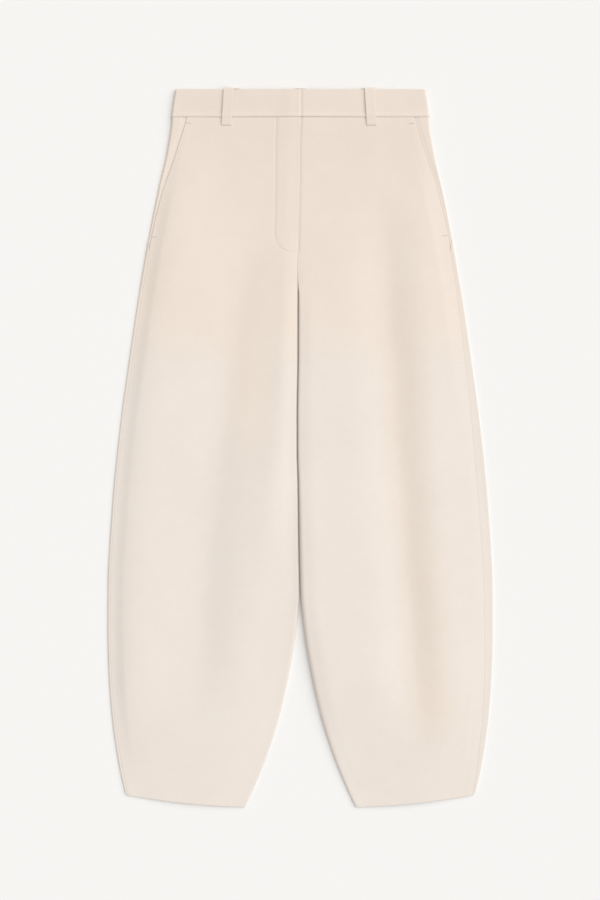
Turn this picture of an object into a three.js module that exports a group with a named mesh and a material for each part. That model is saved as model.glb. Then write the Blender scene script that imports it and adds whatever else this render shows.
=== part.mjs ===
// Wool trousers with full, barrel-shaped legs, laid flat on a surface with the front up.
//
// Units are millimetres. +X is the wearer's left, +Y runs from the hems to the waist and +Z is up.
// Right and left are the wearer's. The origin is under the middle of the garment, on the surface.
//
// Every piece of cloth is a wall whose outside follows one closed ring round the body or the leg:
// over the front, round the side fold and back under the garment. A place on it is given by its drop,
// the distance below the waistband's top edge, and by its length along the ring.

import * as THREE from "three";

// Thicknesses and gaps
const CLOTH = 2.5; // double-faced wool
const BAND = 3.0; // the same wool and its pressed backing, in the waistband
const FACING = 1.9; // the same wool, pressed thinner, behind the pockets and the fly
const SEAM_GAP = 0.3; // between two pieces that meet edge to edge
const LAYER_GAP = 0.4; // between two pieces that lie on each other

// Drops of the garment's landmarks
const BAND_DROP = 41;
const POCKET_CLOSES = 215; // from here down to its end, the pocket's facing goes under
const POCKET_END_DROP = 240;
const FLY_END_DROP = 240;
const CROTCH_DROP = 311;
const LEGS_PART_FROM = 205; // from here down to the crotch, one crown over the body turns into one a leg
const ROLL_FROM = 245; // from here down to the crotch, the cloth comes to roll under at the inside leg
const HEM_DROP = 1061; // at the inside leg
const HEM_RISE = 18; // the hem is this much higher at the side fold
const HEM_BOW = 1.6; // power of the hem's curve from the inside leg up to the side fold
const SLANT_FROM = 700; // below this the cloth runs up with the hem, more and more

// Half of the garment, from the waist down. outer is how far the side fold is from the centre line and
// inner how far the inside leg is. fold is the radius of the cloth's bend at the sides, and crown is
// how much higher the front stands in the middle than at its folds. The front lies on the back, with
// less than 4 mm of air left between them. The waistband is thicker, so it stands a little higher.
const OUTLINE = [
  { drop: 0, outer: 185, inner: 0.15, fold: 4.2, crown: 1.4 },
  { drop: 40.9, outer: 190, inner: 0.15, fold: 4.2, crown: 1.2 },
  { drop: 41.1, outer: 190, inner: 0.15, fold: 4.0, crown: 0.6 },
  { drop: 89, outer: 196.5, inner: 0.15, fold: 4.0, crown: 0.6 },
  { drop: 148, outer: 210, inner: 0.15, fold: 4.0, crown: 0.6 },
  { drop: 207, outer: 222, inner: 0.15, fold: 4.0, crown: 0.6 },
  { drop: 266, outer: 232.5, inner: 0.3, fold: 4.0, crown: 0.6 },
  { drop: 311, outer: 240, inner: 0.9, fold: 4.0, crown: 0.6 },
  { drop: 385, outer: 251, inner: 0.9, fold: 4.0, crown: 0.6 },
  { drop: 503, outer: 267, inner: 0.9, fold: 4.0, crown: 0.6 },
  { drop: 622, outer: 278.6, inner: 0.9, fold: 4.0, crown: 0.6 },
  { drop: 740, outer: 284.8, inner: 1.2, fold: 4.0, crown: 0.6 },
  { drop: 799, outer: 285, inner: 6.0, fold: 4.0, crown: 0.6 },
  { drop: 858, outer: 283.6, inner: 15.5, fold: 4.0, crown: 0.6 },
  { drop: 918, outer: 279.5, inner: 28.5, fold: 4.0, crown: 0.6 },
  { drop: 977, outer: 272, inner: 46.5, fold: 4.0, crown: 0.6 },
  { drop: 1036, outer: 261, inner: 70.0, fold: 3.9, crown: 0.5 },
  { drop: 1061, outer: 256, inner: 82.0, fold: 3.9, crown: 0.5 },
];

// How far inside the outline the front panel ends: along the slanted pocket, then along the side seam
const FRONT_EDGE = [
  { drop: 41, right: 22, left: 22 },
  { drop: 75, right: 16, left: 17 },
  { drop: 111, right: 11.5, left: 12.5 },
  { drop: 163, right: 8.0, left: 8.5 },
  { drop: 222, right: 6.5, left: 6.5 },
  { drop: 385, right: 5.0, left: 10 },
  { drop: 622, right: 3.5, left: 15 },
  { drop: 858, right: 3.5, left: 12 },
  { drop: 1061, right: 4.5, left: 6 },
];

// Soft valleys and ridges down the front of the legs. The line of each runs through three places, at
// its upper end, its middle and its lower end, and it fades out towards both ends. spread is its
// half width and rise its height, below zero in a valley.
const SOFT_FOLDS = [
  { leg: "right", from: 250, to: 960, xs: [62, 126, 142], spread: 33, rise: -2.7 },
  { leg: "right", from: 300, to: 1000, xs: [20, 60, 84], spread: 26, rise: 0.3 },
  { leg: "left", from: 55, to: 985, xs: [122, 140, 176], spread: 23, rise: -2.6 },
  { leg: "left", from: 250, to: 960, xs: [60, 82, 110], spread: 34, rise: 0.3 },
];
const FOLD_FADE = 150; // length over which a soft fold rises from nothing at its upper and lower ends
const FOLD_CLEAR = 24; // the folds are flat at the inside leg and the side, and full this far in

// The front closes right over left, a little to the right of the centre line
const LAP_SHIFT = -1.5;
const UNDERLAP_REACH = 38; // how far the left waistband runs on under the right one
const UNDERLAP_STEP = 5; // length over which it steps down there

// Belt loops. Their run over the cloth is a line in the middle of their thickness: drop along it and
// out, the height over the cloth's outside.
const LOOP_WIDTH = 15;
const FRONT_LOOP = {
  thickness: 1.6,
  run: [
    { drop: -1.35, out: -1.6 },
    { drop: -1.35, out: 0.5 },
    { drop: -0.3, out: 1.7 },
    { drop: 3, out: 2.4 },
    { drop: 14, out: 2.9 },
    { drop: 27, out: 3.0 },
    { drop: 40, out: 2.6 },
    { drop: 47, out: 1.5 },
    { drop: 53, out: 1.2 },
  ],
};
const BACK_LOOP = {
  thickness: 1.4,
  run: [
    { drop: -1.35, out: -1.6 },
    { drop: -1.35, out: 0.4 },
    { drop: 0.1, out: 1.0 },
    { drop: 27, out: 1.0 },
    { drop: 53, out: 1.0 },
  ],
};
const LOOPS = [
  { name: "belt_loop_front_right", x: -106, lean: -0.065, face: 1, ...FRONT_LOOP },
  { name: "belt_loop_front_left", x: 102, lean: 0.06, face: 1, ...FRONT_LOOP },
  { name: "belt_loop_back_right", x: -98, lean: 0, face: -1, ...BACK_LOOP },
  { name: "belt_loop_back_centre", x: 0, lean: 0, face: -1, ...BACK_LOOP },
  { name: "belt_loop_back_left", x: 98, lean: 0, face: -1, ...BACK_LOOP },
];

// Under the back waistband the garment is lifted by the thickness of the belt loops it lies on
const LOOP_LIFT = 1.7;
const LIFT_FROM = 60;
const LIFT_TO = 120;

const WOOL = { color: 0xefe3d7, roughness: 0.95, metalness: 0.0 };

const SIDES = { right: -1, left: 1 };
const NUDGE = 0.05; // step for measuring the slope of the cloth
const ROLLED = 8; // this much at the inside leg has columns of its own, for the roll there

const mix = (a, b, share) => a + (b - a) * share;
const smooth = (from, to, x) => THREE.MathUtils.smoothstep(x, from, to);

// A column of a table at a drop between its rows, as a smooth curve that never swings past a row.
function read(table, column, drop) {
  const last = table.length - 1;
  if (drop <= table[0].drop) return table[0][column];
  if (drop >= table[last].drop) return table[last][column];
  const slope = (i) => (table[i + 1][column] - table[i][column]) / (table[i + 1].drop - table[i].drop);
  const tangent = (i) => {
    if (i === 0) return slope(0);
    if (i === last) return slope(last - 1);
    const before = slope(i - 1);
    const after = slope(i);
    return before * after <= 0 ? 0 : (2 * before * after) / (before + after);
  };
  const i = table.findIndex((row) => row.drop > drop) - 1;
  const length = table[i + 1].drop - table[i].drop;
  const t = (drop - table[i].drop) / length;
  return (
    table[i][column] * (1 + 2 * t) * (1 - t) ** 2 +
    tangent(i) * length * t * (1 - t) ** 2 +
    table[i + 1][column] * t * t * (3 - 2 * t) +
    tangent(i + 1) * length * t * t * (t - 1)
  );
}

const hemSlant = (drop) => HEM_RISE * smooth(SLANT_FROM, HEM_DROP, drop);

// The ring's measures at one drop: where its folds are and how far the inside leg is rolled under.
function section(drop) {
  const fold = read(OUTLINE, "fold", drop);
  const inner = read(OUTLINE, "inner", drop);
  const outer = read(OUTLINE, "outer", drop - hemSlant(drop));
  const roll = (Math.PI / 2) * smooth(ROLL_FROM, CROTCH_DROP, drop);
  return {
    fold,
    inner,
    outer,
    roll,
    crown: read(OUTLINE, "crown", drop),
    lift: LOOP_LIFT * (1 - smooth(LIFT_FROM, LIFT_TO, drop)),
    sideCrest: outer - fold,
  };
}

function softFolds(side, x, drop, ring) {
  const leg = side < 0 ? "right" : "left";
  const clearOfLeg = smooth(0, FOLD_CLEAR, x - ring.fold - ring.inner);
  const clearOfSide = smooth(0, FOLD_CLEAR, ring.sideCrest - x);
  let rise = 0;
  for (const soft of SOFT_FOLDS.filter((one) => one.leg === leg)) {
    const along = (drop - soft.from) / (soft.to - soft.from);
    if (along <= 0 || along >= 1) continue;
    const [top, middle, bottom] = soft.xs;
    const line =
      top * (1 - along) * (1 - 2 * along) +
      middle * 4 * along * (1 - along) +
      bottom * along * (2 * along - 1);
    const fade = smooth(0, FOLD_FADE, drop - soft.from) * smooth(0, FOLD_FADE, soft.to - drop);
    rise += soft.rise * fade * Math.exp(-(((x - line) / soft.spread) ** 2));
  }
  return rise * clearOfLeg * clearOfSide;
}

// How much higher than at its folds the front is, x out from the centre line.
function frontRise(side, x, drop, ring) {
  const bump = (share) => (1 - Math.min(1, share * share)) ** 2;
  const innerCrest = ring.inner + ring.fold * Math.sin(ring.roll);
  const body = bump(x / ring.sideCrest);
  const leg = bump((2 * (x - innerCrest)) / (ring.sideCrest - innerCrest) - 1);
  const legShare = smooth(LEGS_PART_FROM, CROTCH_DROP, drop);
  return ring.crown * mix(body, leg, legShare) + softFolds(side, x, drop, ring);
}

// Length along the ring from its start to the crest of the side fold.
function lengthToCrest(ring, start = ring.inner) {
  return ring.fold * ring.roll + ring.sideCrest - start - ring.fold * Math.sin(ring.roll);
}

// The outside of the cloth, length along the ring from its start. face is 1 for the ring that starts
// on the front and -1 for the one that starts on the back; both go round the side fold.
function outside(side, face, drop, length, start) {
  const ring = section(drop);
  const begin = start ?? ring.inner;
  const arc = ring.fold * ring.roll;
  const crest = lengthToCrest(ring, begin);
  const turn = Math.PI * ring.fold;
  const height = (x, facing) =>
    facing < 0 ? ring.lift : ring.lift + 2 * ring.fold + frontRise(side, x, drop, ring);
  let x;
  let z;
  if (length < arc) {
    const angle = ring.roll - length / ring.fold;
    const innerCrest = begin + ring.fold * Math.sin(ring.roll);
    x = innerCrest - ring.fold * Math.sin(angle);
    z = height(innerCrest, face) - face * ring.fold * (1 - Math.cos(angle));
  } else if (length < crest) {
    x = begin + ring.fold * Math.sin(ring.roll) + length - arc;
    z = height(x, face);
  } else if (length < crest + turn) {
    const angle = (length - crest) / ring.fold;
    x = ring.sideCrest + ring.fold * Math.sin(angle);
    z = ring.lift + ring.fold + face * ring.fold * Math.cos(angle);
  } else {
    x = ring.sideCrest - (length - crest - turn);
    z = height(x, -face);
  }
  const share = THREE.MathUtils.clamp((x - ring.inner) / (ring.outer - ring.inner), 0, 1);
  return new THREE.Vector3(side * x, hemSlant(drop) * share ** HEM_BOW - drop, z);
}

// The outside of the cloth with the direction that points out of it.
function outsideWithNormal(side, face, drop, length, start) {
  const at = (d, l) => outside(side, face, d, l, start);
  const along = at(drop, length + NUDGE).sub(at(drop, length - NUDGE));
  const down = at(drop + NUDGE, length).sub(at(drop - NUDGE, length));
  const normal = along.cross(down).normalize().multiplyScalar(side * -face);
  return { point: at(drop, length), normal };
}

// A closed solid from a grid of places. place(i, j) gives the two points of the wall there.
function wallSolid(rows, columns, place) {
  const outer = [];
  const inner = [];
  for (let i = 0; i < rows; i++) {
    for (let j = 0; j < columns; j++) {
      const [out, back] = place(i, j);
      outer.push(out);
      inner.push(back);
    }
  }
  const points = [...outer, ...inner];
  const behind = outer.length;
  const at = (i, j) => i * columns + j;
  const faces = [];
  const quad = (a, b, c, d) => faces.push([a, b, c], [a, c, d]);
  for (let i = 0; i + 1 < rows; i++) {
    for (let j = 0; j + 1 < columns; j++) {
      quad(at(i, j), at(i + 1, j), at(i + 1, j + 1), at(i, j + 1));
      quad(behind + at(i, j), behind + at(i, j + 1), behind + at(i + 1, j + 1), behind + at(i + 1, j));
    }
  }
  const rim = [];
  for (let j = 0; j + 1 < columns; j++) rim.push(at(0, j));
  for (let i = 0; i + 1 < rows; i++) rim.push(at(i, columns - 1));
  for (let j = columns - 1; j > 0; j--) rim.push(at(rows - 1, j));
  for (let i = rows - 1; i > 0; i--) rim.push(at(i, 0));
  rim.forEach((a, k) => {
    const b = rim[(k + 1) % rim.length];
    quad(a, b, behind + b, behind + a);
  });
  const volume = faces.reduce(
    (sum, [a, b, c]) => sum + points[a].dot(new THREE.Vector3().crossVectors(points[b], points[c])),
    0,
  );
  const order = volume < 0 ? ([a, b, c]) => [a, c, b] : (face) => face;
  const geometry = new THREE.BufferGeometry().setFromPoints(points);
  geometry.setIndex(faces.flatMap(order));
  geometry.computeVertexNormals();
  return geometry;
}

// A wall of cloth whose outside lies on the garment's ring, or depth below it. drops are its rows and
// lengths(drop) the places of its columns along the ring.
function clothWall({ side, face, drops, lengths, thickness, depth = () => 0, start = () => undefined }) {
  const columns = lengths(drops[0]).length;
  return wallSolid(drops.length, columns, (i, j) => {
    const drop = drops[i];
    const length = lengths(drop)[j];
    const { point, normal } = outsideWithNormal(side, face, drop, length, start(drop));
    const below = depth(drop, length);
    return [
      point.clone().addScaledVector(normal, -below),
      point.clone().addScaledVector(normal, -below - thickness),
    ];
  });
}

// Rows from one drop to the last of the stretches, each stretch in even steps.
function rowsFrom(drop, stretches) {
  const rows = [drop];
  for (const { to, steps } of stretches) {
    const from = rows[rows.length - 1];
    for (let k = 1; k <= steps; k++) rows.push(mix(from, to, k / steps));
  }
  return rows;
}

const evenly = (from, to, steps) => Array.from({ length: steps + 1 }, (_, k) => mix(from, to, k / steps));

const PANEL_ROWS = rowsFrom(BAND_DROP + SEAM_GAP / 2, [
  { to: 185, steps: 5 },
  { to: 215, steps: 3 },
  { to: ROLL_FROM, steps: 4 },
  { to: CROTCH_DROP, steps: 5 },
  { to: 425, steps: 3 },
  { to: HEM_DROP, steps: 15 },
]);
const BAND_ROWS = [0, BAND_DROP / 2, BAND_DROP - SEAM_GAP / 2];

// The front panels' inner edges: the fly's edge, then the centre seam and the inside leg
function frontStart(side, drop) {
  return section(drop).inner + side * LAP_SHIFT * (1 - smooth(FLY_END_DROP, CROTCH_DROP, drop));
}

// Length from the crest of the side fold to the front panel's outer edge, below zero on the front.
function frontEdge(side, drop) {
  const { fold } = section(drop);
  const inset = read(FRONT_EDGE, side < 0 ? "right" : "left", drop);
  return inset < fold ? fold * Math.asin(1 - inset / fold) : fold - inset;
}

// The same for the back panel's edge. Beside the pocket it stays at the side of the garment.
function backEdge(side, drop) {
  const atSide = (section(drop).fold * Math.PI) / 2;
  return mix(atSide, frontEdge(side, drop), smooth(POCKET_CLOSES, POCKET_END_DROP, drop));
}

function frontPanel(side) {
  return clothWall({
    side,
    face: 1,
    drops: PANEL_ROWS,
    thickness: CLOTH,
    start: (drop) => frontStart(side, drop),
    lengths: (drop) => {
      const crest = lengthToCrest(section(drop), frontStart(side, drop));
      const end = crest + frontEdge(side, drop) - SEAM_GAP / 2;
      const broad = evenly(0, 1, 13).map((t) => mix(ROLLED, end, Math.sin((t * Math.PI) / 2)));
      return [...evenly(SEAM_GAP / 2, ROLLED, 4), ...broad.slice(1)];
    },
  });
}

function backPanel(side) {
  return clothWall({
    side,
    face: -1,
    drops: PANEL_ROWS,
    thickness: CLOTH,
    lengths: (drop) => {
      const ring = section(drop);
      const crest = lengthToCrest(ring);
      const end = crest + Math.PI * ring.fold - backEdge(side, drop) - SEAM_GAP / 2;
      return [
        ...evenly(SEAM_GAP / 2, ROLLED, 4),
        ...evenly(ROLLED, crest, 3).slice(1),
        ...evenly(crest, end, 6).slice(1),
      ];
    },
  });
}

// Half of the waistband, from the centre front round the side to the centre back.
function waistband(side) {
  const reach = side < 0 ? -LAP_SHIFT + SEAM_GAP : -UNDERLAP_REACH;
  const lap = side * LAP_SHIFT;
  const under = BAND + LAYER_GAP;
  return clothWall({
    side,
    face: 1,
    drops: BAND_ROWS,
    thickness: BAND,
    start: () => reach,
    lengths: (drop) => {
      const ring = section(drop);
      const crest = lengthToCrest(ring, reach);
      const turned = crest + Math.PI * ring.fold;
      const hidden = side < 0 ? [0] : [...evenly(0, lap - reach - 1, 2), lap - reach + UNDERLAP_STEP / 2];
      const from = side < 0 ? 0 : lap - reach + UNDERLAP_STEP;
      return [
        ...hidden,
        ...evenly(from, crest, 8).slice(side < 0 ? 1 : 0),
        ...evenly(crest, turned, 6).slice(1),
        ...evenly(turned, turned + ring.sideCrest - SEAM_GAP / 2, 4).slice(1),
      ];
    },
    depth: (drop, length) => {
      const up = side < 0 ? 1 : smooth(lap, lap + UNDERLAP_STEP, length + reach);
      return under * (1 - up);
    },
  });
}

// The cloth seen between the slanted pocket and the side, which runs on under the front panel. Beside
// the pocket it is flush with the front, and at the pocket's lower end it goes under the back panel.
function pocketFacing(side) {
  const reach = 30; // under the front panel
  const dip = 4; // it comes up from under the front panel over this length
  const rising = 0.7; // or over this share of its width, where it is narrow
  const least = 2.5; // it stays this wide beyond the front's edge
  const slanting = { gap: 1.5, from: 205, to: 222 }; // more room where its edge and the back's slant
  const under = CLOTH + LAYER_GAP;
  const edge = (drop) => lengthToCrest(section(drop)) + frontEdge(side, drop);
  const end = (drop) => {
    const gap = SEAM_GAP + slanting.gap * smooth(slanting.from, slanting.to, drop);
    return Math.max(lengthToCrest(section(drop)) + backEdge(side, drop) - gap, edge(drop) + least);
  };
  return clothWall({
    side,
    face: 1,
    drops: PANEL_ROWS.filter((drop) => drop < POCKET_END_DROP),
    thickness: FACING,
    lengths: (drop) => {
      const up = edge(drop) + Math.min(dip, rising * (end(drop) - edge(drop)));
      return [
        ...evenly(edge(drop) - reach, edge(drop), 2),
        ...evenly(edge(drop), up, 4).slice(1),
        ...evenly(up, end(drop), 4).slice(1),
      ];
    },
    depth: (drop, length) => {
      const closing = smooth(POCKET_CLOSES, POCKET_END_DROP - 10, drop);
      const up = smooth(edge(drop) + SEAM_GAP, edge(drop) + dip, length) * (1 - closing);
      return under * (1 - up) + LAYER_GAP * closing;
    },
  });
}

// The facing sewn behind the right front along the fly, which shows as its curved stitching.
function flyFacing() {
  const width = 37;
  const curve = { x: 35, drop: 33 }; // half axes of its rounded lower corner
  const fromEdge = 0.6;
  const reach = (drop) => {
    const past = (drop - (FLY_END_DROP - curve.drop)) / curve.drop;
    return past <= 0 ? width : width - curve.x + curve.x * Math.sqrt(1 - past * past);
  };
  return clothWall({
    side: SIDES.right,
    face: 1,
    drops: rowsFrom(BAND_DROP + 1, [
      { to: FLY_END_DROP - curve.drop, steps: 5 },
      { to: FLY_END_DROP - 8, steps: 4 },
      { to: FLY_END_DROP - 1, steps: 3 },
    ]),
    thickness: FACING,
    start: () => -LAP_SHIFT,
    lengths: (drop) => evenly(fromEdge, reach(drop), 3),
    depth: () => CLOTH + LAYER_GAP,
  });
}

function beltLoop({ x, lean, face, thickness, run }) {
  const across = evenly(-LOOP_WIDTH / 2, LOOP_WIDTH / 2, 2);
  const ring = (drop) => section(Math.max(0, drop));
  return wallSolid(run.length, across.length, (i, j) => {
    const before = run[Math.max(0, i - 1)];
    const after = run[Math.min(run.length - 1, i + 1)];
    const along = new THREE.Vector2(after.drop - before.drop, after.out - before.out).normalize();
    const corners = [0.5, -0.5].map((share) => {
      const drop = run[i].drop - along.y * thickness * share;
      const out = run[i].out + along.x * thickness * share;
      const place = x + lean * drop + across[j];
      const { lift, fold } = ring(drop);
      const side = Math.sign(x) || 1;
      const crown = frontRise(side, Math.abs(place), Math.max(0, drop), ring(drop));
      const cloth = face < 0 ? lift : lift + 2 * fold + crown;
      return new THREE.Vector3(place, -drop, cloth + face * out);
    });
    return corners;
  });
}

const trousers = new THREE.Group();

function add(name, geometry) {
  const mesh = new THREE.Mesh(geometry, new THREE.MeshStandardMaterial(WOOL));
  mesh.name = name;
  trousers.add(mesh);
}

for (const [name, side] of Object.entries(SIDES)) {
  add("front_" + name, frontPanel(side));
  add("back_" + name, backPanel(side));
  add("waistband_" + name, waistband(side));
  add("pocket_facing_" + name, pocketFacing(side));
}
add("fly_facing", flyFacing());
for (const loop of LOOPS) add(loop.name, beltLoop(loop));

const middle = new THREE.Box3().setFromObject(trousers).getCenter(new THREE.Vector3());
trousers.position.set(-middle.x, -middle.y, 0);

export default trousers;
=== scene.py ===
"""Cream wool trousers with full, barrel-shaped legs, laid flat with the front up.

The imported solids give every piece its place. This script dresses them in fine shells of cloth, with
rounded edges, seams, creases and stitching, and adds the floor, the light and the camera.

Sizes are in millimetres until a mesh is made. +X is the wearer's left, +Y runs from the hems to the
waist and +Z is up. Right and left are the wearer's. Every piece of cloth follows one closed ring round
the body or the leg. A place on it is given by its drop, the distance below the waistband's top edge,
and by its length along the ring.
"""

import math
from types import SimpleNamespace

import bpy
import numpy as np
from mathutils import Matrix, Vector


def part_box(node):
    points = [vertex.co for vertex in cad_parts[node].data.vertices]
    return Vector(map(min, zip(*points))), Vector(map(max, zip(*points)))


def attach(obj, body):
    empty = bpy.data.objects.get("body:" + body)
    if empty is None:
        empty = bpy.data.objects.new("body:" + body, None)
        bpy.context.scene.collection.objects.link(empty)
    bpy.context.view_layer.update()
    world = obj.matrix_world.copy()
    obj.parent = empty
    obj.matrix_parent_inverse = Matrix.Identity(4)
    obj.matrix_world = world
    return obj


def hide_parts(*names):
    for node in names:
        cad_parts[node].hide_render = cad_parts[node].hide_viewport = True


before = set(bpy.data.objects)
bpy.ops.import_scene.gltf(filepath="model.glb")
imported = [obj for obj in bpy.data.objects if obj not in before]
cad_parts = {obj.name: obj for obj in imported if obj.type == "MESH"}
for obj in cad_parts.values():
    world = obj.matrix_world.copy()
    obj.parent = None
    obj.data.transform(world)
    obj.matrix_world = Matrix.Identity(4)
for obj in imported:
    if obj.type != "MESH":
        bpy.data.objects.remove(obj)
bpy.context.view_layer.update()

MM = 0.001
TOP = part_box("waistband_right")[1].y / MM  # y of the waistband's top edge


def table(columns, *rows):
    """A short table, as one array for each named column."""
    return dict(zip(columns.split(), np.array(rows, float).T))


# Thicknesses and gaps. The cloth is as thin as such wool is, thinner than its solids.
CLOTH = 1.2
BAND = 2.2
FACING = 1.0
SEAM_GAP = 0.04  # between two pieces that meet edge to edge
LAYER_GAP = 0.2  # between two pieces that lie on each other

# Drops of the garment's landmarks
BAND_DROP = 41
FULL_FROM = 60  # from here down the front of each leg stands up on its own
POCKET_CLOSES = 215  # the lower end of the pocket's opening
POCKET_END_DROP = 240
FLY_END_DROP = 240
FLY_TO_SEAM = (FLY_END_DROP - 2, FLY_END_DROP + 6)  # here the fly's edge goes over into a seam
LEGS_PART_FROM = 250  # from here down each leg has a crown of its own
ROLL_FROM = 280  # from here down the cloth at the inside leg bends round from the front to the back
CROTCH_DROP = 311
SLANT_FROM = 700  # from here down the side lies higher than the inside leg
HEM_DROP = 1061

HEM_RISE = 18  # how much higher the hem ends at the side than at the inside leg
HEM_BOW = 1.6  # above 1, that rise gathers towards the side

# Half of the garment, from the waist down: where the side fold and the inside leg are, and how much
# higher the front stands in the middle than at its folds
OUTLINE = table(
    "drop outer inner crown",
    (0, 185, 0.02, 1.4),
    (40.9, 190, 0.02, 1.2),
    (41.1, 190, 0.02, 0.6),
    (89, 196.5, 0.02, 0.6),
    (148, 210, 0.02, 0.6),
    (207, 222, 0.02, 0.6),
    (266, 232.5, 0.02, 0.6),
    (289, 236.4, 0.2, 0.6),
    (311, 240, 0.9, 0.6),
    (385, 251, 0.9, 0.6),
    (503, 267, 0.9, 0.6),
    (622, 278.6, 0.9, 0.6),
    (740, 284.8, 1.2, 0.6),
    (799, 285, 6.0, 0.6),
    (858, 283.6, 15.5, 0.6),
    (918, 279.5, 28.5, 0.6),
    (977, 272, 46.5, 0.6),
    (1036, 261, 70.0, 0.5),
    (1061, 256, 82.0, 0.5),
)

# How far inside the outline the front panel ends: along the slanted pocket, then along the side seam
FRONT_EDGE = table(
    "drop right left",
    (41, 22, 22),
    (75, 16, 17),
    (111, 11.5, 12.5),
    (163, 6.0, 8.5),
    (222, 4.0, 6.5),
    (385, 4.2, 10),
    (622, 3.5, 15),
    (858, 3.5, 12),
    (1061, 4.5, 6),
)

# The bends at the folds. side and inside are half the height of the bend at the side and at the inside
# leg, and side_in and inside_in say how far each bend reaches in from the outline.
BENDS = {
    "right": table(
        "drop side inside side_in inside_in",
        (0, 2.8, 3.8, 3.0, 1.6),
        (41, 2.6, 3.7, 3.0, 1.6),
        (85, 2.1, 2.9, 3.0, 1.6),
        (240, 1.9, 2.9, 2.8, 1.6),
        (330, 1.4, 3.4, 2.8, 1.6),
        (620, 1.4, 3.8, 2.8, 1.6),
        (760, 1.4, 3.4, 2.8, 1.6),
        (860, 1.4, 2.6, 2.8, 1.6),
        (940, 1.4, 1.8, 2.8, 1.6),
        (1061, 1.5, 1.6, 2.0, 1.6),
    ),
    "left": table(
        "drop side inside side_in inside_in",
        (0, 2.8, 3.8, 3.0, 1.6),
        (41, 2.6, 3.7, 3.0, 1.6),
        (85, 2.1, 2.9, 1.8, 1.6),
        (240, 1.9, 2.9, 1.6, 1.6),
        (330, 1.6, 4.6, 1.4, 1.2),
        (550, 1.5, 5.0, 1.3, 2.2),
        (640, 1.5, 6.2, 1.3, 4.5),
        (740, 1.5, 6.6, 1.3, 6.0),
        (840, 1.5, 5.6, 1.3, 6.0),
        (940, 1.5, 3.8, 1.3, 5.0),
        (1061, 1.5, 1.8, 1.3, 2.4),
    ),
}

# The line where the legs meet bends a little to the right on its way down
CENTRE_LINE = table(
    "drop shift",
    (0, 1.5),
    (38, 1.5),
    (75, -0.5),
    (133, -0.8),
    (192, -2.4),
    (222, -3.0),
    (260, -3.2),
    (311, -3.2),
    (400, -3.4),
    (480, -4.6),
    (530, -4.6),
    (590, -3.2),
    (680, -2),
    (760, -0.5),
    (900, 0),
)

# Soft valleys and ridges down the legs. The line of each runs through three places, at its upper end,
# its middle and its lower end. rise is its height, below zero in a valley, and inwards and outwards are
# its half widths towards the inside leg and towards the side.
FRONT_FOLDS = [
    dict(leg="right", begin=135, end=975, xs=(60, 126, 160), inwards=34, outwards=46, rise=-5.3),
    dict(leg="right", begin=160, end=800, xs=(-4, 26, 60), inwards=26, outwards=28, rise=3.4),
    dict(leg="right", begin=450, end=1090, xs=(40, 82, 100), inwards=45, outwards=40, rise=2.4),
    dict(leg="right", begin=20, end=1070, xs=(146, 235, 239), inwards=42, outwards=32, rise=5.0),
    dict(leg="right", begin=-160, end=350, xs=(17, 17, 18), inwards=9, outwards=12, rise=0.7),
    dict(leg="left", begin=110, end=1010, xs=(114, 144, 176), inwards=38, outwards=28, rise=-6.0),
    dict(leg="left", begin=160, end=1080, xs=(10, 14, 60), inwards=30, outwards=62, rise=2.6),
    dict(leg="left", begin=20, end=1080, xs=(180, 202, 226), inwards=35, outwards=60, rise=3.4),
]
# The same on the underside, where every fold is a hollow between places that rest on the surface
BACK_FOLDS = [
    dict(leg="right", begin=300, end=930, xs=(190, 205, 215), inwards=22, outwards=28, rise=0.9),
    dict(leg="right", begin=70, end=420, xs=(30, 40, 50), inwards=18, outwards=20, rise=0.6),
    dict(leg="left", begin=260, end=970, xs=(40, 52, 84), inwards=24, outwards=20, rise=1.0),
    dict(leg="left", begin=120, end=520, xs=(185, 205, 215), inwards=20, outwards=17, rise=0.5),
]
FOLD_FADE = 200  # the length over which a fold begins, and over which it ends
# The width over which folds fade out towards the inside leg and towards the side
FOLD_CLEAR = {
    "right": SimpleNamespace(inside=26, side=22),
    "left": SimpleNamespace(inside=22, side=30),
}
FULLNESS = 4.6  # how much the middle of each leg's front stands up, besides its crown
HEM_FALL = SimpleNamespace(share=0.6, length=160)  # the share of that fullness that is gone at the hem

# Small unevenness of the cloth: waves of these lengths, each across its own direction
RIPPLES = table(
    "wavelength degrees phase height",
    (97, 12, 0.6, 0.07),
    (61, -24, 2.1, 0.04),
    (143, 78, 4.0, 0.07),
    (44, 51, 1.3, 0.02),
)

# The front closes right over left, a little to the right of the centre line. The left half of the
# waistband slopes down to the lap by a dip over a width, and goes under it by a step behind its edge.
LAP_SHIFT = -1.5
UNDERLAP_REACH = 38  # how far the left half of the waistband runs on past the centre line
UNDER_LAP = SimpleNamespace(dip=0.9, width=5, step_from=3, step_to=0.3)

# Edges and seams
EDGE_ROUND = 0.6  # outer radius of a turned edge
FLY_ROUND = 0.35  # of the fly's edge
SEAM_ROUND = 0.3  # of an edge at a seam
UNDER_ROUND = 0.02  # of an edge that goes under another
EDGE_ROUND_INSIDE = 0.3
BAND_ROUND = 1.4  # of the waistband's folded top edge and lap
SEAM_GROOVE = SimpleNamespace(depth=0.14, width=1.6)
SEAM_ALLOWANCE = SimpleNamespace(rise=0.18, width=11, soft=3)  # the cloth turned in beside a seam
BAND_RIDGE = SimpleNamespace(rise=1.2, above=2.0, width=2.8)  # along the waistband's seam
BAND_SEAM = SimpleNamespace(depth=0.3, width=1.3)  # the groove at that seam
UNDER_FLY = SimpleNamespace(dip=1.3, width=4.5)  # the left front goes under the fly's edge
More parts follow.
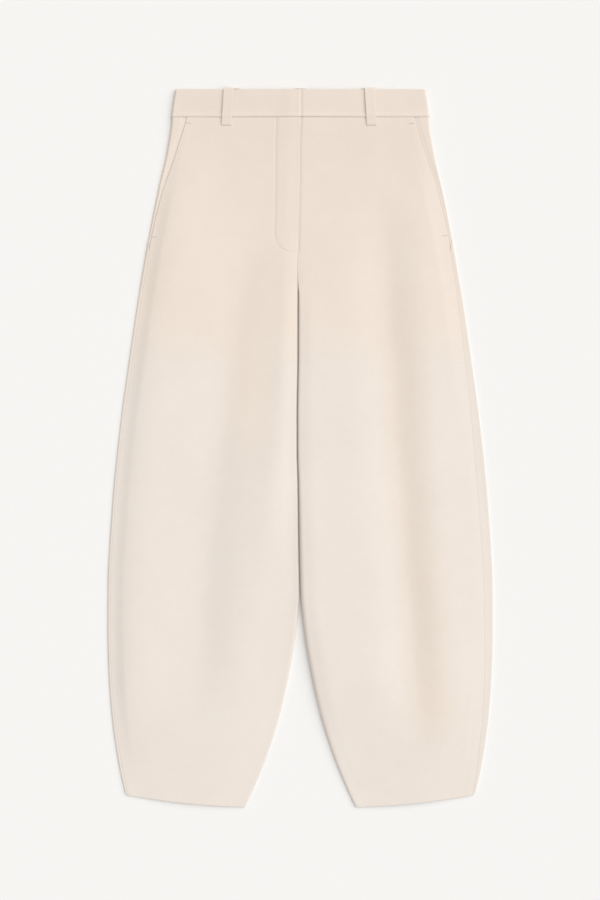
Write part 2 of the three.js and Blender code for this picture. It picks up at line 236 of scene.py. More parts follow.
# The turned-up hem: its height at the inside leg and at the side, and how much thicker it makes the
# panel, up to a soft step between two heights
HEM_TURN = SimpleNamespace(right=(13, 13), left=(15, 5), thicker=0.3, step=(12, 16))
HEM_MARK = SimpleNamespace(rise=0.2, width=1.6)
HEM_ROUND = 1.1
HEM_CORNER = SimpleNamespace(reach=5, height=30)  # the rounded corner at the side

# How the pocket's facing comes up from under the slanted edge: how far it runs on under the front
# panel, where its rise begins and ends beside the edge, the most of its width that the rise takes, the
# least width that shows, and how much lower than the front's cloth it lies there. It goes back under
# between two heights above its lower end. The last share of it has columns closer together.
POCKET_FACING = SimpleNamespace(
    reach=30, behind=0.4, dip=3.2, rising=0.7, least=0.4, lower=0.7, closing=(9, 3), tip=0.2
)

# The curved stitching of the fly: its distance from the fly's edge, and its rounded lower corner. The
# fly is raised inside it, with a soft step and a groove.
FLY = SimpleNamespace(width=34.4, across=26, down=27, rise=0.3, step=1.5, groove=0.42, spread=1.4)
STITCH = SimpleNamespace(length=2.5, pitch=3.2, radius=0.24, sides=6)
STITCH_TAPER = np.array([0.35, 0.85, 1, 0.85, 0.35])  # its thickness along its length, as a share
STITCH_LIFT = np.array([-0.25, 0.05, 0.16, 0.05, -0.25])  # its height over the cloth along its length
TACK = SimpleNamespace(length=7.5, width=1.9, pitch=0.55)
TACKS = [
    dict(side=-1, x=165, drop=50, turn=0),
    dict(side=1, x=165, drop=50.5, turn=0),
    dict(side=-1, x=215.5, drop=218, turn=8),
    dict(side=1, x=213.5, drop=216, turn=-8),
]

# Belt loops: drop along their run and the height of their middle over the cloth's outside
LOOP_WIDTH = 15
FRONT_LOOP = dict(
    thickness=1.3,
    run=(
        (-1.35, -1.6), (-1.35, 0.4), (-0.3, 1.2), (3, 1.7), (14, 2.1),
        (27, 2.2), (40, 2.0), (47, 1.3), (53, 0.9),
    ),
)
BACK_LOOP = dict(thickness=1.0, run=((-1.35, -1.6), (-1.35, 0.4), (0.1, 0.7), (27, 0.7), (53, 0.7)))
LOOPS = {
    "belt_loop_front_right": dict(x=-106, lean=-0.065, face=1, **FRONT_LOOP),
    "belt_loop_front_left": dict(x=102, lean=0.06, face=1, **FRONT_LOOP),
    "belt_loop_back_right": dict(x=-98, lean=0, face=-1, **BACK_LOOP),
    "belt_loop_back_centre": dict(x=0, lean=0, face=-1, **BACK_LOOP),
    "belt_loop_back_left": dict(x=98, lean=0, face=-1, **BACK_LOOP),
}

# Under the back waistband the garment is lifted by the thickness of the belt loops it lies on
LOOP_LIFT = 1.25
LIFT_FROM = 60
LIFT_TO = 120

# Spacing of the fine meshes
FINE = np.array([0, 0.12, 0.35, 0.7, 1.1, 1.7, 2.5])  # from an edge inwards, round its bend
FLY_COLUMNS = np.concatenate([np.arange(5, 32, 2.7), np.arange(32.8, 42, 0.8)])
COLUMNS = SimpleNamespace(front_right=84, front_left=98, back=80, band_front=64, band_back=50, bend=14)
ROW_SPACING = 4.0
BAND_ROW_SPACING = 1.6
FLY_ROWS = SimpleNamespace(spacing=0.9, margin=4)  # round the fly's lower corner
NUDGE = 0.05  # the step over which the cloth's slope is measured

# Colours, as linear red, green and blue
WOOL_LIGHT = (0.864, 0.764, 0.678)
WOOL_DARK = (0.812, 0.710, 0.621)
LIT_PALER = (0.99, 1.022, 1.055)  # painted light: the legs' cloth paler where lit, but for their valleys in painted shade, against the waist's
SHADED_DEEPER = (0.98, 0.976, 0.974)  # painted shade: the cloth at the waistband darker against the rest
THREAD_LIGHT = (0.84, 0.75, 0.67)
THREAD_DARK = (0.60, 0.50, 0.42)
FLOOR_COLOUR = (0.905, 0.898, 0.885)
WORLD_COLOUR = (1.0, 1.0, 1.0)

# Where this painted light and painted shade are, by place on the garment in metres: the y where each
# begins and the y where it is full. Two valleys in painted shade keep the waist's colour, each in a
# band round its middle x, whose ends are the y where it begins and the y where it is full. lean is how
# far the left band leans, as a slope.
LIT_PALER_FROM_TO = (0.20, 0.08)
SHADED_DEEPER_FROM_TO = (0.26, 0.53)
LEFT_SHADED_VALLEY = SimpleNamespace(middle=0.160, reach=0.052, lean=0.09, ends=(-0.48, -0.38))
RIGHT_SHADED_VALLEY = SimpleNamespace(middle=-0.075, reach=0.055, ends=(-0.09, 0.08))
TWILL_SCALE = 137.5  # its ribs are about 3 mm apart

# Light and camera
WORLD_STRENGTH = 0.437
SUN_STRENGTH = 2.24
SUN_ANGLE = math.radians(85)
SUN_FROM = Vector((0.52, 0.22, 0.82))
SUN_COLOUR = (1.0, 0.995, 0.985)
PHOTO_HEIGHT = 1332  # what the photograph shows from its top to its bottom edge
LENS, SENSOR = 85, 36
LOOK_AT = (-0.7, -3.4)

SIDES = {"right": -1, "left": 1}
SIDE_NAMES = {side: name for name, side in SIDES.items()}


def smooth(start, end, x):
    """0 before start, 1 after end, and a soft step between them."""
    share = np.clip((x - start) / (end - start), 0, 1)
    return share * share * (3 - 2 * share)


def read(rows, column, drop):
    """A column of a table at any drops, as a smooth curve that never swings past a row."""
    at, value = rows["drop"], rows[column]
    step = np.diff(at)
    slope = np.diff(value) / step
    before, after = slope[:-1], slope[1:]
    alike = before * after > 0
    middle = np.where(alike, 2 * before * after / np.where(alike, before + after, 1), 0)
    tangent = np.concatenate([slope[:1], middle, slope[-1:]])
    drop = np.clip(drop, at[0], at[-1])
    i = np.clip(np.searchsorted(at, drop, side="right") - 1, 0, len(step) - 1)
    t = (drop - at[i]) / step[i]
    return (
        value[i] * (1 + 2 * t) * (1 - t) ** 2
        + tangent[i] * step[i] * t * (1 - t) ** 2
        + value[i + 1] * t * t * (3 - 2 * t)
        + tangent[i + 1] * step[i] * t * t * (t - 1)
    )


def hem_slant(drop):
    """How much higher the side fold lies than the inside leg, at the same drop."""
    return HEM_RISE * smooth(SLANT_FROM, HEM_DROP, drop)


def section(side, drop):
    """The ring's measures at each drop."""
    bend = BENDS[SIDE_NAMES[side]]
    inner = read(OUTLINE, "inner", drop)
    outer = read(OUTLINE, "outer", drop - hem_slant(drop))
    roll = math.pi / 2 * smooth(ROLL_FROM, CROTCH_DROP, drop)
    side_in = read(bend, "side_in", drop)
    inside_in = read(bend, "inside_in", drop)
    return SimpleNamespace(
        inner=inner,
        outer=outer,
        fold=read(bend, "side", drop),
        inside_fold=read(bend, "inside", drop),
        side_in=side_in,
        inside_in=inside_in,
        crown=read(OUTLINE, "crown", drop),
        roll=roll,
        lift=LOOP_LIFT * (1 - smooth(LIFT_FROM, LIFT_TO, drop)),
        inner_crest=inner + inside_in * np.sin(roll),
        side_crest=outer - side_in,
    )


def soft_folds(folds, side, x, drop, ring):
    """Height of the soft folds of one face, x out from the centre line."""
    rise = np.zeros(np.broadcast(x, drop).shape)
    for fold in folds:
        if fold["leg"] != SIDE_NAMES[side]:
            continue
        along = np.clip((drop - fold["begin"]) / (fold["end"] - fold["begin"]), 0, 1)
        top, middle, bottom = fold["xs"]
        line = (
            top * (1 - along) * (1 - 2 * along)
            + middle * 4 * along * (1 - along)
            + bottom * along * (2 * along - 1)
        )
        fade = smooth(0, FOLD_FADE, drop - fold["begin"]) * smooth(0, FOLD_FADE, fold["end"] - drop)
        width = np.where(x < line, fold["inwards"], fold["outwards"])
        rise = rise + fold["rise"] * fade * np.exp(-(((x - line) / width) ** 2))
    return rise * clear_of_bends(side, x, ring)


def clear_of_bends(side, x, ring):
    """0 at the bends at the inside leg and the side, and 1 a little way in from them."""
    clear = FOLD_CLEAR[SIDE_NAMES[side]]
    from_inside = np.clip((x - ring.inner_crest) / clear.inside, 0, 1)
    return from_inside * (2 - from_inside) * smooth(0, clear.side, ring.side_crest - x)


def ripples(side, x, drop):
    """The cloth's small unevenness."""
    height = 0
    for wavelength, degrees, phase, rise in zip(*RIPPLES.values()):
        angle = math.radians(degrees)
        across = side * x * math.cos(angle) + drop * math.sin(angle)
        height = height + rise * np.sin(2 * math.pi * across / wavelength + phase)
    return height


def bump(share):
    """1 in the middle of a stretch from -1 to 1, and softly 0 at its ends."""
    return (1 - np.minimum(1, share**2)) ** 2


def front_rise(side, x, drop, ring):
    """How much higher than at its folds the front is."""
    body = bump(x / ring.side_crest)
    leg = bump(2 * (x - ring.inner_crest) / (ring.side_crest - ring.inner_crest) - 1)
    leg_share = smooth(LEGS_PART_FROM, CROTCH_DROP, drop)
    fall = HEM_FALL.share * smooth(HEM_DROP - HEM_FALL.length, HEM_DROP, drop)
    full = FULLNESS * smooth(FULL_FROM, CROTCH_DROP, drop) * (1 - fall)
    crown = ring.crown * (body * (1 - leg_share) + leg * leg_share) + full * leg
    uneven = ripples(side, x, drop) * clear_of_bends(side, x, ring)
    return crown + soft_folds(FRONT_FOLDS, side, x, drop, ring) + uneven


def height(side, face, x, drop, ring):
    """Height of the cloth's outside on the front, face 1, or on the back, face -1."""
    if face < 0:
        return ring.lift + soft_folds(BACK_FOLDS, side, x, drop, ring)
    share = np.clip((x - ring.inner_crest) / (ring.side_crest - ring.inner_crest), 0, 1)
    bends = ring.fold + (ring.inside_fold - ring.fold) * (1 - share) ** 2
    return ring.lift + 2 * bends + front_rise(side, x, drop, ring)


def length_to_crest(ring, start):
    """Length along the ring from its start to the crest of the side fold."""
    return ring.inside_fold * ring.roll + ring.side_crest - start - ring.inside_in * np.sin(ring.roll)


def outside(side, face, drop, length, start):
    """Points on the outside of the cloth, for a ring that starts on the front or on the back."""
    ring = section(side, drop)
    arc = ring.inside_fold * ring.roll
    inner_crest = start + ring.inside_in * np.sin(ring.roll)
    crest = length_to_crest(ring, start)
    turned = crest + math.pi * ring.fold
    rolled = ring.roll - length / ring.inside_fold
    turn = (length - crest) / ring.fold
    x_rolled = inner_crest - ring.inside_in * np.sin(rolled)
    x_near = inner_crest + length - arc
    x_turn = ring.side_crest + ring.side_in * np.sin(turn)
    x_far = ring.side_crest - (length - turned)
    z_crest = height(side, face, inner_crest, drop, ring)
    z_rolled = z_crest - face * ring.inside_fold * (1 - np.cos(rolled))
    z_near = height(side, face, x_near, drop, ring)
    z_turn = ring.lift + ring.fold + face * ring.fold * np.cos(turn)
    z_far = height(side, -face, x_far, drop, ring)
    where = [length < arc, length < crest, length < turned]
    x = np.select(where, [x_rolled, x_near, x_turn], x_far)
    z = np.select(where, [z_rolled, z_near, z_turn], z_far)
    share = np.clip((x - ring.inner) / (ring.outer - ring.inner), 0, 1)
    corner = HEM_CORNER.reach * np.clip(1 - (ring.outer - x) / HEM_CORNER.reach, 0, 1) ** 2
    corner = corner * smooth(HEM_DROP - HEM_CORNER.height, HEM_DROP, drop)
    y = TOP + hem_slant(drop) * share**HEM_BOW - drop + corner
    shifted = side * x + read(CENTRE_LINE, "shift", drop) * (1 - share) ** 2
    return np.stack(np.broadcast_arrays(shifted, y, z), axis=-1)


def outside_with_normal(side, face, drop, length, start):
    """The outside of the cloth, with the directions that point out of it."""

    def at(drops, lengths):
        return outside(side, face, drops, lengths, start)

    along = at(drop, length + NUDGE) - at(drop, length - NUDGE)
    down = at(drop + NUDGE, length) - at(drop - NUDGE, length)
    normal = np.cross(along, down) * -side * face
    normal /= np.linalg.norm(normal, axis=-1, keepdims=True)
    return at(drop, length), normal


def rounding(distance, radius):
    """How far a rounded edge lies below the surface, at a distance in from the edge."""
    reach = np.clip(radius - distance, 0, radius)
    return radius - np.sqrt(radius**2 - reach**2)


def groove(sizes, distance):
    """Depth of a seam's groove, at a distance from the seam."""
    return sizes.depth * np.exp(-((distance / sizes.width) ** 2))


def turned_edge(distance):
    """Relief beside an edge that is turned in and not sewn to what lies under it."""
    width, soft = SEAM_ALLOWANCE.width, SEAM_ALLOWANCE.soft
    return SEAM_ALLOWANCE.rise * (1 - smooth(width - soft, width + soft, distance))


def seam(distance):
    """Relief beside a seam: a groove at the seam, and the turned-in cloth under it."""
    return turned_edge(distance) - groove(SEAM_GROOVE, distance)


def fly_relief(from_edge, drop):
    """Relief of the fly: raised by its facing, with a groove where the curved line is stitched."""
    past = np.maximum(0, drop - (FLY_END_DROP - FLY.down))
    centre = FLY.width - FLY.across
    along = np.maximum(0, from_edge - centre) / FLY.across
    round_corner = (np.hypot(along, past / FLY.down) - 1) * FLY.down
    distance = np.where(past > 0, round_corner, from_edge - FLY.width)
    raised = FLY.rise * (1 - smooth(-FLY.step, FLY.step, distance))
    return raised - FLY.groove * np.exp(-((distance / FLY.spread) ** 2))


def hem_relief(side, drop, share):
    """The faint line along the top of the turned-up hem.

    share is 0 at the inside leg and 1 at the side.
    """
    at_leg, at_side = HEM_TURN.right if side < 0 else HEM_TURN.left
    above = HEM_DROP - drop - (at_leg + (at_side - at_leg) * share)
    return HEM_MARK.rise * (1 - smooth(-HEM_MARK.width, HEM_MARK.width, above))


def panel_thickness(drop):
    """Thickness of a panel's cloth, with the part that the turned-up hem adds."""
    return CLOTH + HEM_TURN.thicker * (1 - smooth(*HEM_TURN.step, HEM_DROP - drop))


def rows_by(first, last, *stretches):
    """Rows from first to last, fine at both ends. Each stretch says how far it goes and its spacing."""
    rows = [first + FINE]
    at = first + FINE[-1]
    for to, spacing in stretches:
        count = max(1, round((to - at) / spacing))
        rows.append(np.linspace(at, to, count + 1)[1:])
        at = to
    rows[-1] = rows[-1][:-1]
    rows.append(last - FINE[::-1])
    return np.concatenate(rows)[:, None]


def spread(first, last, count):
    """Columns evenly from first to last, in each row."""
    return first + (last - first) * np.linspace(0, 1, count + 1)


def quad_grid(rows, columns):
    """The corners of each quad of a grid of points, and the points of its rim in order."""
    index = np.arange(rows * columns).reshape(rows, columns)
    corners = [index[:-1, :-1], index[1:, :-1], index[1:, 1:], index[:-1, 1:]]
    quads = np.stack(corners, axis=-1).reshape(-1, 4)
    rim = np.concatenate([index[0, :-1], index[:-1, -1], index[-1, :0:-1], index[:0:-1, 0]])
    return quads, rim


def turned_out(points, faces):
    """The faces, turned so that a closed mesh's sides point out."""
    a, b, c, d = (points[faces[:, k]] for k in range(4))
    volume = np.einsum("ij,ij->", a, np.cross(b, c)) + np.einsum("ij,ij->", a, np.cross(c, d))
    return faces if volume > 0 else faces[:, ::-1]


def mesh_object(name, points, faces, uv, material):
    """A smooth mesh from points in millimetres, with the cloth's own coordinates in metres."""
    mesh = bpy.data.meshes.new(name)
    mesh.from_pydata((points * MM).tolist(), [], faces if isinstance(faces, list) else faces.tolist())
    mesh.polygons.foreach_set("use_smooth", np.ones(len(mesh.polygons), bool))
    corners = np.empty(len(mesh.loops), int)
    mesh.loops.foreach_get("vertex_index", corners)
    layer = mesh.uv_layers.new(name="cloth")
    layer.data.foreach_set("uv", (uv[corners] * MM).ravel())
    mesh.materials.append(material)
    obj = bpy.data.objects.new(name, mesh)
    bpy.context.scene.collection.objects.link(obj)
    return obj


def shell(name, outer, inner, drop, length, material):
    """A closed piece of cloth between two grids of points, its outside and its inside."""
    rows, columns = outer.shape[:2]
    quads, rim = quad_grid(rows, columns)
    behind = rows * columns
    following = np.roll(rim, -1)
    sides = np.stack([rim, following, following + behind, rim + behind], axis=-1)
    faces = np.concatenate([quads, quads[:, ::-1] + behind, sides])
    points = np.concatenate([outer.reshape(-1, 3), inner.reshape(-1, 3)])
    uv = np.stack(np.broadcast_arrays(length, -drop), axis=-1).reshape(-1, 2)
    return mesh_object(name, points, turned_out(points, faces), np.concatenate([uv, uv]), material)


def cut_of(outer):
    """Width, length and area of a piece's flat cut, in metres, measured over its outside."""
    across = np.diff(outer, axis=1)
    down = np.diff(outer, axis=0)
    width = np.linalg.norm(across, axis=2).sum(axis=1).max()
    length = np.linalg.norm(down, axis=2).sum(axis=0).max()
    area = np.linalg.norm(np.cross(across[:-1], down[:, :-1]), axis=2).sum()
    return SimpleNamespace(flat=(width * MM, length * MM), area=area * MM * MM)


def cloth_piece(name, place, thickness, relief, depth=0, rounds=(EDGE_ROUND,) * 4):
    """A piece of cloth on the garment's ring, and the cut it was made from.

    rounds gives the radius of its first and last edge along the ring, and of its top and bottom edge.
    """
    side, face, drop, length, start = place
    point, normal = outside_with_normal(side, face, drop, length, start)
    edges = [length - length[:, :1], length[:, -1:] - length, drop - drop[0], drop[-1] - drop]
    rounded = [np.broadcast_to(rounding(at, radius), length.shape) for at, radius in zip(edges, rounds)]
    nearest = np.minimum.reduce(np.broadcast_arrays(*edges))
    top = relief - depth - np.maximum.reduce(rounded)
    bottom = rounding(nearest, EDGE_ROUND_INSIDE) - depth - thickness
    outer = point + normal * np.broadcast_to(top, nearest.shape)[..., None]
    inner = point + normal * np.broadcast_to(bottom, nearest.shape)[..., None]
    obj = shell(name, outer, inner, drop, length, WOOL)
    return obj, cut_of(outer)


def front_start(side, drop):
    """The front panel's inner edge: the fly's edge, then the centre seam and the inside leg."""
    return section(side, drop).inner + side * LAP_SHIFT * (1 - smooth(FLY_END_DROP, CROTCH_DROP, drop))


def front_edge(side, drop):
    """Length from the side fold's crest to the front panel's outer edge, below zero on the front."""
    ring = section(side, drop)
    inset = read(FRONT_EDGE, SIDE_NAMES[side], drop)
    into_bend = ring.fold * np.arcsin(np.clip(1 - inset / ring.side_in, -1, 1))
    return np.where(inset < ring.side_in, into_bend, ring.side_in - inset)


def back_edge(side, drop):
    """The same for the back panel. Beside the pocket its edge stays at the side of the garment."""
    at_side = section(side, drop).fold * math.pi / 2
    return at_side + (front_edge(side, drop) - at_side) * smooth(POCKET_CLOSES, POCKET_END_DROP, drop)


def start_of(value, drop):
    """The same start of the ring in every row."""
    return np.full_like(drop, value)


def front_panel(name, side):
    """Half of the front, from the waistband's seam to the hem."""
    first, last = BAND_DROP + SEAM_GAP / 2, HEM_DROP
    if side < 0:
        stretches = [
            (FLY_END_DROP - FLY.down - FLY_ROWS.margin, ROW_SPACING),
            (FLY_END_DROP + FLY_ROWS.margin, FLY_ROWS.spacing),
            (last - FINE[-1], ROW_SPACING),
        ]
        near, columns = np.concatenate([FINE, FLY_COLUMNS]), COLUMNS.front_right
    else:
        stretches = [(last - FINE[-1], ROW_SPACING)]
        near, columns = FINE, COLUMNS.front_left
    drop = rows_by(first, last, *stretches)
    ring = section(side, drop)
    start = front_start(side, drop)
    end = length_to_crest(ring, start) + front_edge(side, drop) - SEAM_GAP / 2
    begin = np.full_like(drop, SEAM_GAP / 2)
    length = np.hstack([
        begin + near,
        spread(begin + near[-1], end - FINE[-1], columns)[:, 1:-1],
        end - FINE[::-1],
    ])
    from_start, from_end = length - begin, end - length
    below_fly = smooth(*FLY_TO_SEAM, drop)
    below_pocket = smooth(POCKET_CLOSES, POCKET_END_DROP, drop)
    relief = (
        seam(from_start) * below_fly
        + seam(from_end) * below_pocket
        + turned_edge(from_end) * (1 - below_pocket)
        - groove(BAND_SEAM, drop - first)
        + hem_relief(side, drop, length / end)
    )
    if side < 0:
        relief = relief + (turned_edge(from_start) + fly_relief(from_start, drop)) * (1 - below_fly)
    else:
        relief = relief - UNDER_FLY.dip * (1 - smooth(0, UNDER_FLY.width, from_start)) * (1 - below_fly)
    at_fly = FLY_ROUND if side < 0 else UNDER_ROUND
    rounds = (
        at_fly + (SEAM_ROUND - at_fly) * below_fly,
        EDGE_ROUND + (SEAM_ROUND - EDGE_ROUND) * below_pocket,
        SEAM_ROUND,
        HEM_ROUND,
    )
    place = (side, 1, drop, length, start)
    return cloth_piece(name, place, panel_thickness(drop), relief, rounds=rounds)


def back_panel(name, side):
    """Half of the back, which goes round the side fold to the side seam."""
    first, last = BAND_DROP + SEAM_GAP / 2, HEM_DROP
    drop = rows_by(first, last, (last - FINE[-1], ROW_SPACING))
    ring = section(side, drop)
    start = ring.inner
    crest = length_to_crest(ring, start)
    end = crest + math.pi * ring.fold - back_edge(side, drop) - SEAM_GAP / 2
    begin = np.full_like(drop, SEAM_GAP / 2)
    length = np.hstack([
        begin + FINE,
        spread(begin + FINE[-1], crest, COLUMNS.back)[:, 1:],
        spread(crest, end - FINE[-1], COLUMNS.bend)[:, 1:-1],
        end - FINE[::-1],
    ])
    below_pocket = smooth(POCKET_CLOSES, POCKET_END_DROP, drop)
    relief = -(
        groove(SEAM_GROOVE, length - begin)
        + groove(SEAM_GROOVE, end - length) * below_pocket
        + groove(SEAM_GROOVE, drop - first)
    )
    rounds = (SEAM_ROUND, SEAM_ROUND, SEAM_ROUND, HEM_ROUND)
    place = (side, -1, drop, length, start)
    return cloth_piece(name, place, panel_thickness(drop), relief, rounds=rounds)


def waistband(name, side):
    """Half of the waistband, from the centre front round the side to the centre back."""
    last = BAND_DROP - SEAM_GAP / 2
    drop = rows_by(0, last, (last - FINE[-1], BAND_ROW_SPACING))
    ring = section(side, drop)
    reach = -LAP_SHIFT + SEAM_GAP if side < 0 else -UNDERLAP_REACH
    lap = side * LAP_SHIFT
    crest = length_to_crest(ring, reach)
    turned = crest + math.pi * ring.fold
    end = turned + ring.side_crest - SEAM_GAP / 2
    zero = np.zeros_like(drop)
    if side < 0:
        near = zero + FINE
    else:
        # Columns close together where it slopes down to the lap and goes under it
        at_lap = zero + lap - reach
        near = np.hstack([
            zero + FINE,
            spread(zero + FINE[-1], at_lap - UNDER_LAP.step_from, 8)[:, 1:],
            spread(at_lap - UNDER_LAP.step_from, at_lap - 1, 5)[:, 1:],
            spread(at_lap - 1, at_lap + UNDER_LAP.width + 1, 14)[:, 1:],
        ])
    length = np.hstack([
        near,
        spread(near[:, -1:], crest, COLUMNS.band_front)[:, 1:],
        spread(crest, turned, COLUMNS.bend)[:, 1:],
        spread(turned, end - FINE[-1], COLUMNS.band_back)[:, 1:-1],
        end - FINE[::-1],
    ])
    under = 0
    if side > 0:
        shown_step = UNDER_LAP.dip * (1 - smooth(lap, lap + UNDER_LAP.width, length + reach))
        hidden_step = smooth(lap - UNDER_LAP.step_from, lap - UNDER_LAP.step_to, length + reach)
        under = (BAND + LAYER_GAP) * (1 - hidden_step) + shown_step * hidden_step
    above_seam = last - drop
    relief = BAND_RIDGE.rise * np.exp(-(((above_seam - BAND_RIDGE.above) / BAND_RIDGE.width) ** 2))
    relief = relief - groove(BAND_SEAM, above_seam)
    lap_round = BAND_ROUND if side < 0 else UNDER_ROUND
    rounds = (lap_round, SEAM_ROUND, BAND_ROUND, SEAM_ROUND)
    place = (side, 1, drop, length, start_of(reach, drop))
    return cloth_piece(name, place, BAND, relief, under, rounds)


def pocket_facing(name, side):
    """The cloth seen between the slanted pocket and the side, which runs on under the front panel."""
    sizes = POCKET_FACING
    under = CLOTH + LAYER_GAP
    last = POCKET_END_DROP - 2
    drop = rows_by(BAND_DROP + SEAM_GAP / 2, last, (last - FINE[-1], ROW_SPACING))
    ring = section(side, drop)
    start = ring.inner
    crest = length_to_crest(ring, start)
    edge = crest + front_edge(side, drop)
    end = np.maximum(crest + back_edge(side, drop) - SEAM_GAP, edge + sizes.least)
    up = edge + np.minimum(sizes.dip, sizes.rising * (end - edge))
    tip = end - sizes.tip * (end - up)
    length = np.hstack([
        spread(edge - sizes.reach, edge, 10),
        spread(edge, up, 12)[:, 1:],
        spread(up, tip, 12)[:, 1:],
        spread(tip, end, 6)[:, 1:],
    ])
    closing_from, closing_to = sizes.closing
    closing = smooth(POCKET_END_DROP - closing_from, POCKET_END_DROP - closing_to, drop)
    risen = smooth(edge - sizes.behind, edge + sizes.dip, length) * (1 - closing)
    level = smooth(edge + sizes.dip, edge + 3 * sizes.dip, length)
    depth = under * (1 - risen) + sizes.lower * risen * (1 - level)
    return cloth_piece(name, (side, 1, drop, length, start), FACING, 0, depth, (SEAM_ROUND,) * 4)


def fly_facing(name):
    """The facing sewn behind the right front along the fly."""
    from_edge, row_spacing, corner_spacing = 0.6, 6, 1.5
    corner, last = FLY_END_DROP - FLY.down, FLY_END_DROP - 1
    drop = rows_by(BAND_DROP + 1, last, (corner, row_spacing), (last - FINE[-1], corner_spacing))
    past = np.clip((drop - corner) / FLY.down, 0, 1)
    reach = FLY.width - FLY.across + FLY.across * np.sqrt(1 - past**2)
    begin = np.full_like(drop, from_edge)
    place = (-1, 1, drop, spread(begin, reach, 16), start_of(-LAP_SHIFT, drop))
    return cloth_piece(name, place, FACING, 0, CLOTH + LAYER_GAP)


def smooth_path(points, steps):
    """A smooth curve through some points, with steps between each two of them."""
    points = np.array(points, float)
    padded = np.vstack([2 * points[0] - points[1], points, 2 * points[-1] - points[-2]])
    t = np.linspace(0, 1, steps, endpoint=False)[:, None]
    curve = []
    for a, b, c, d in zip(padded, padded[1:], padded[2:], padded[3:]):
        bend = 2 * a - 5 * b + 4 * c - d + t * (3 * (b - c) + d - a)
        curve.append(b + 0.5 * t * (c - a + t * bend))
    return np.vstack([*curve, points[-1:]])


def loop_outline(thickness):
    """The section of a belt loop: a flat strip with rounded, slightly thicker edges, across and out."""
    turn = np.linspace(0, math.pi, 9)
    corner = thickness / 2
    flat = np.linspace(-1, 1, 9)[1:-1]
    half = LOOP_WIDTH / 2 - corner
    right = np.stack([half + corner * np.sin(turn), corner * np.cos(turn)], axis=-1)
    thin = corner * (1 - 0.1 * (1 - flat**4))
    below = np.stack([-flat * half, -thin], axis=-1)
    above = np.stack([flat * half, thin], axis=-1)
    return np.vstack([right, below, right * (-1, -1), above])


def belt_loop(name, x, lean, face, thickness, run):
    """A narrow strip of cloth from behind the waistband's top edge down to just below its seam."""
    path = smooth_path(run, 8)
    tangent = np.gradient(path, axis=0)
    tangent /= np.linalg.norm(tangent, axis=1, keepdims=True)
    outline = loop_outline(thickness)
    drop = path[:, :1] - tangent[:, 1:] * outline[:, 1]
    out = path[:, 1:] + tangent[:, :1] * outline[:, 1]
    place = x + lean * drop + outline[:, 0]
    on_cloth = np.maximum(0, path[:, :1])
    side = math.copysign(1, x)
    cloth = height(side, face, np.abs(place), on_cloth, section(side, on_cloth))
    points = np.stack(np.broadcast_arrays(place, TOP - drop, cloth + face * out), axis=-1)
    rows, columns = points.shape[:2]
    index = np.arange(rows * columns).reshape(rows, columns)
    beside = np.roll(index, -1, axis=1)
    quads = np.stack([index[:-1], index[1:], beside[1:], beside[:-1]], axis=-1).reshape(-1, 4)
    half = columns // 2
    caps = []
    for row, step in ((index[0], 1), (index[-1], -1)):
        for k in range(half - 1):
            caps.append([row[k], row[k + 1], row[-2 - k], row[-1 - k]][::step])
    faces = np.concatenate([quads, np.array(caps)])
    flat = points.reshape(-1, 3)
    along = np.cumsum(np.linalg.norm(np.diff(path, axis=0, prepend=path[:1]), axis=1))
    uv = np.stack(np.broadcast_arrays(outline[:, 0], -along[:, None]), axis=-1).reshape(-1, 2)
    obj = mesh_object(name, flat, turned_out(flat, faces), uv, WOOL)
    cut = SimpleNamespace(flat=(LOOP_WIDTH * MM, along[-1] * MM), area=LOOP_WIDTH * along[-1] * MM * MM)
    return obj, cut


def stitch_ring(points, out, radius):
    """One stitch: rings of points round its line, thin at both ends."""
    tangent = np.gradient(points, axis=0)
    tangent /= np.linalg.norm(tangent, axis=1, keepdims=True)
    beside = np.cross(tangent, out)
    turn = np.linspace(0, 2 * math.pi, STITCH.sides, endpoint=False)
    size = radius * STITCH_TAPER[:, None, None]
    rim = np.cos(turn)[None, :, None] * beside[:, None] + np.sin(turn)[None, :, None] * out[:, None]
    return points[:, None] + size * rim


def thread(name, stitches):
    """Many stitches as one mesh. Each is a few points of its line, with the way out of the cloth."""
    points, faces = [], []
    index = np.arange(len(STITCH_TAPER) * STITCH.sides).reshape(-1, STITCH.sides)
    beside = np.roll(index, -1, axis=1)
    tube = np.stack([index[:-1], index[1:], beside[1:], beside[:-1]], axis=-1).reshape(-1, 4).tolist()
    tube += [index[0].tolist(), index[-1, ::-1].tolist()]
    for line, out in stitches:
        base = index.size * len(points)
        points.append(stitch_ring(line, out, STITCH.radius).reshape(-1, 3))
        faces += [[base + corner for corner in face] for face in tube]
    points = np.concatenate(points)
    return mesh_object(name, points, faces, points[:, :2], THREAD)


def on_front(side, drop, x, relief, lift):
    """Points on the front panel, by drop and distance from the centre line, lifted off the cloth."""
    drop, x = np.array(drop)[:, None], np.array(x)[:, None]
    start = front_start(side, drop)
    point, normal = outside_with_normal(side, 1, drop, x - start, start)
    return point[:, 0] + normal[:, 0] * (relief + lift)[:, None], normal[:, 0]


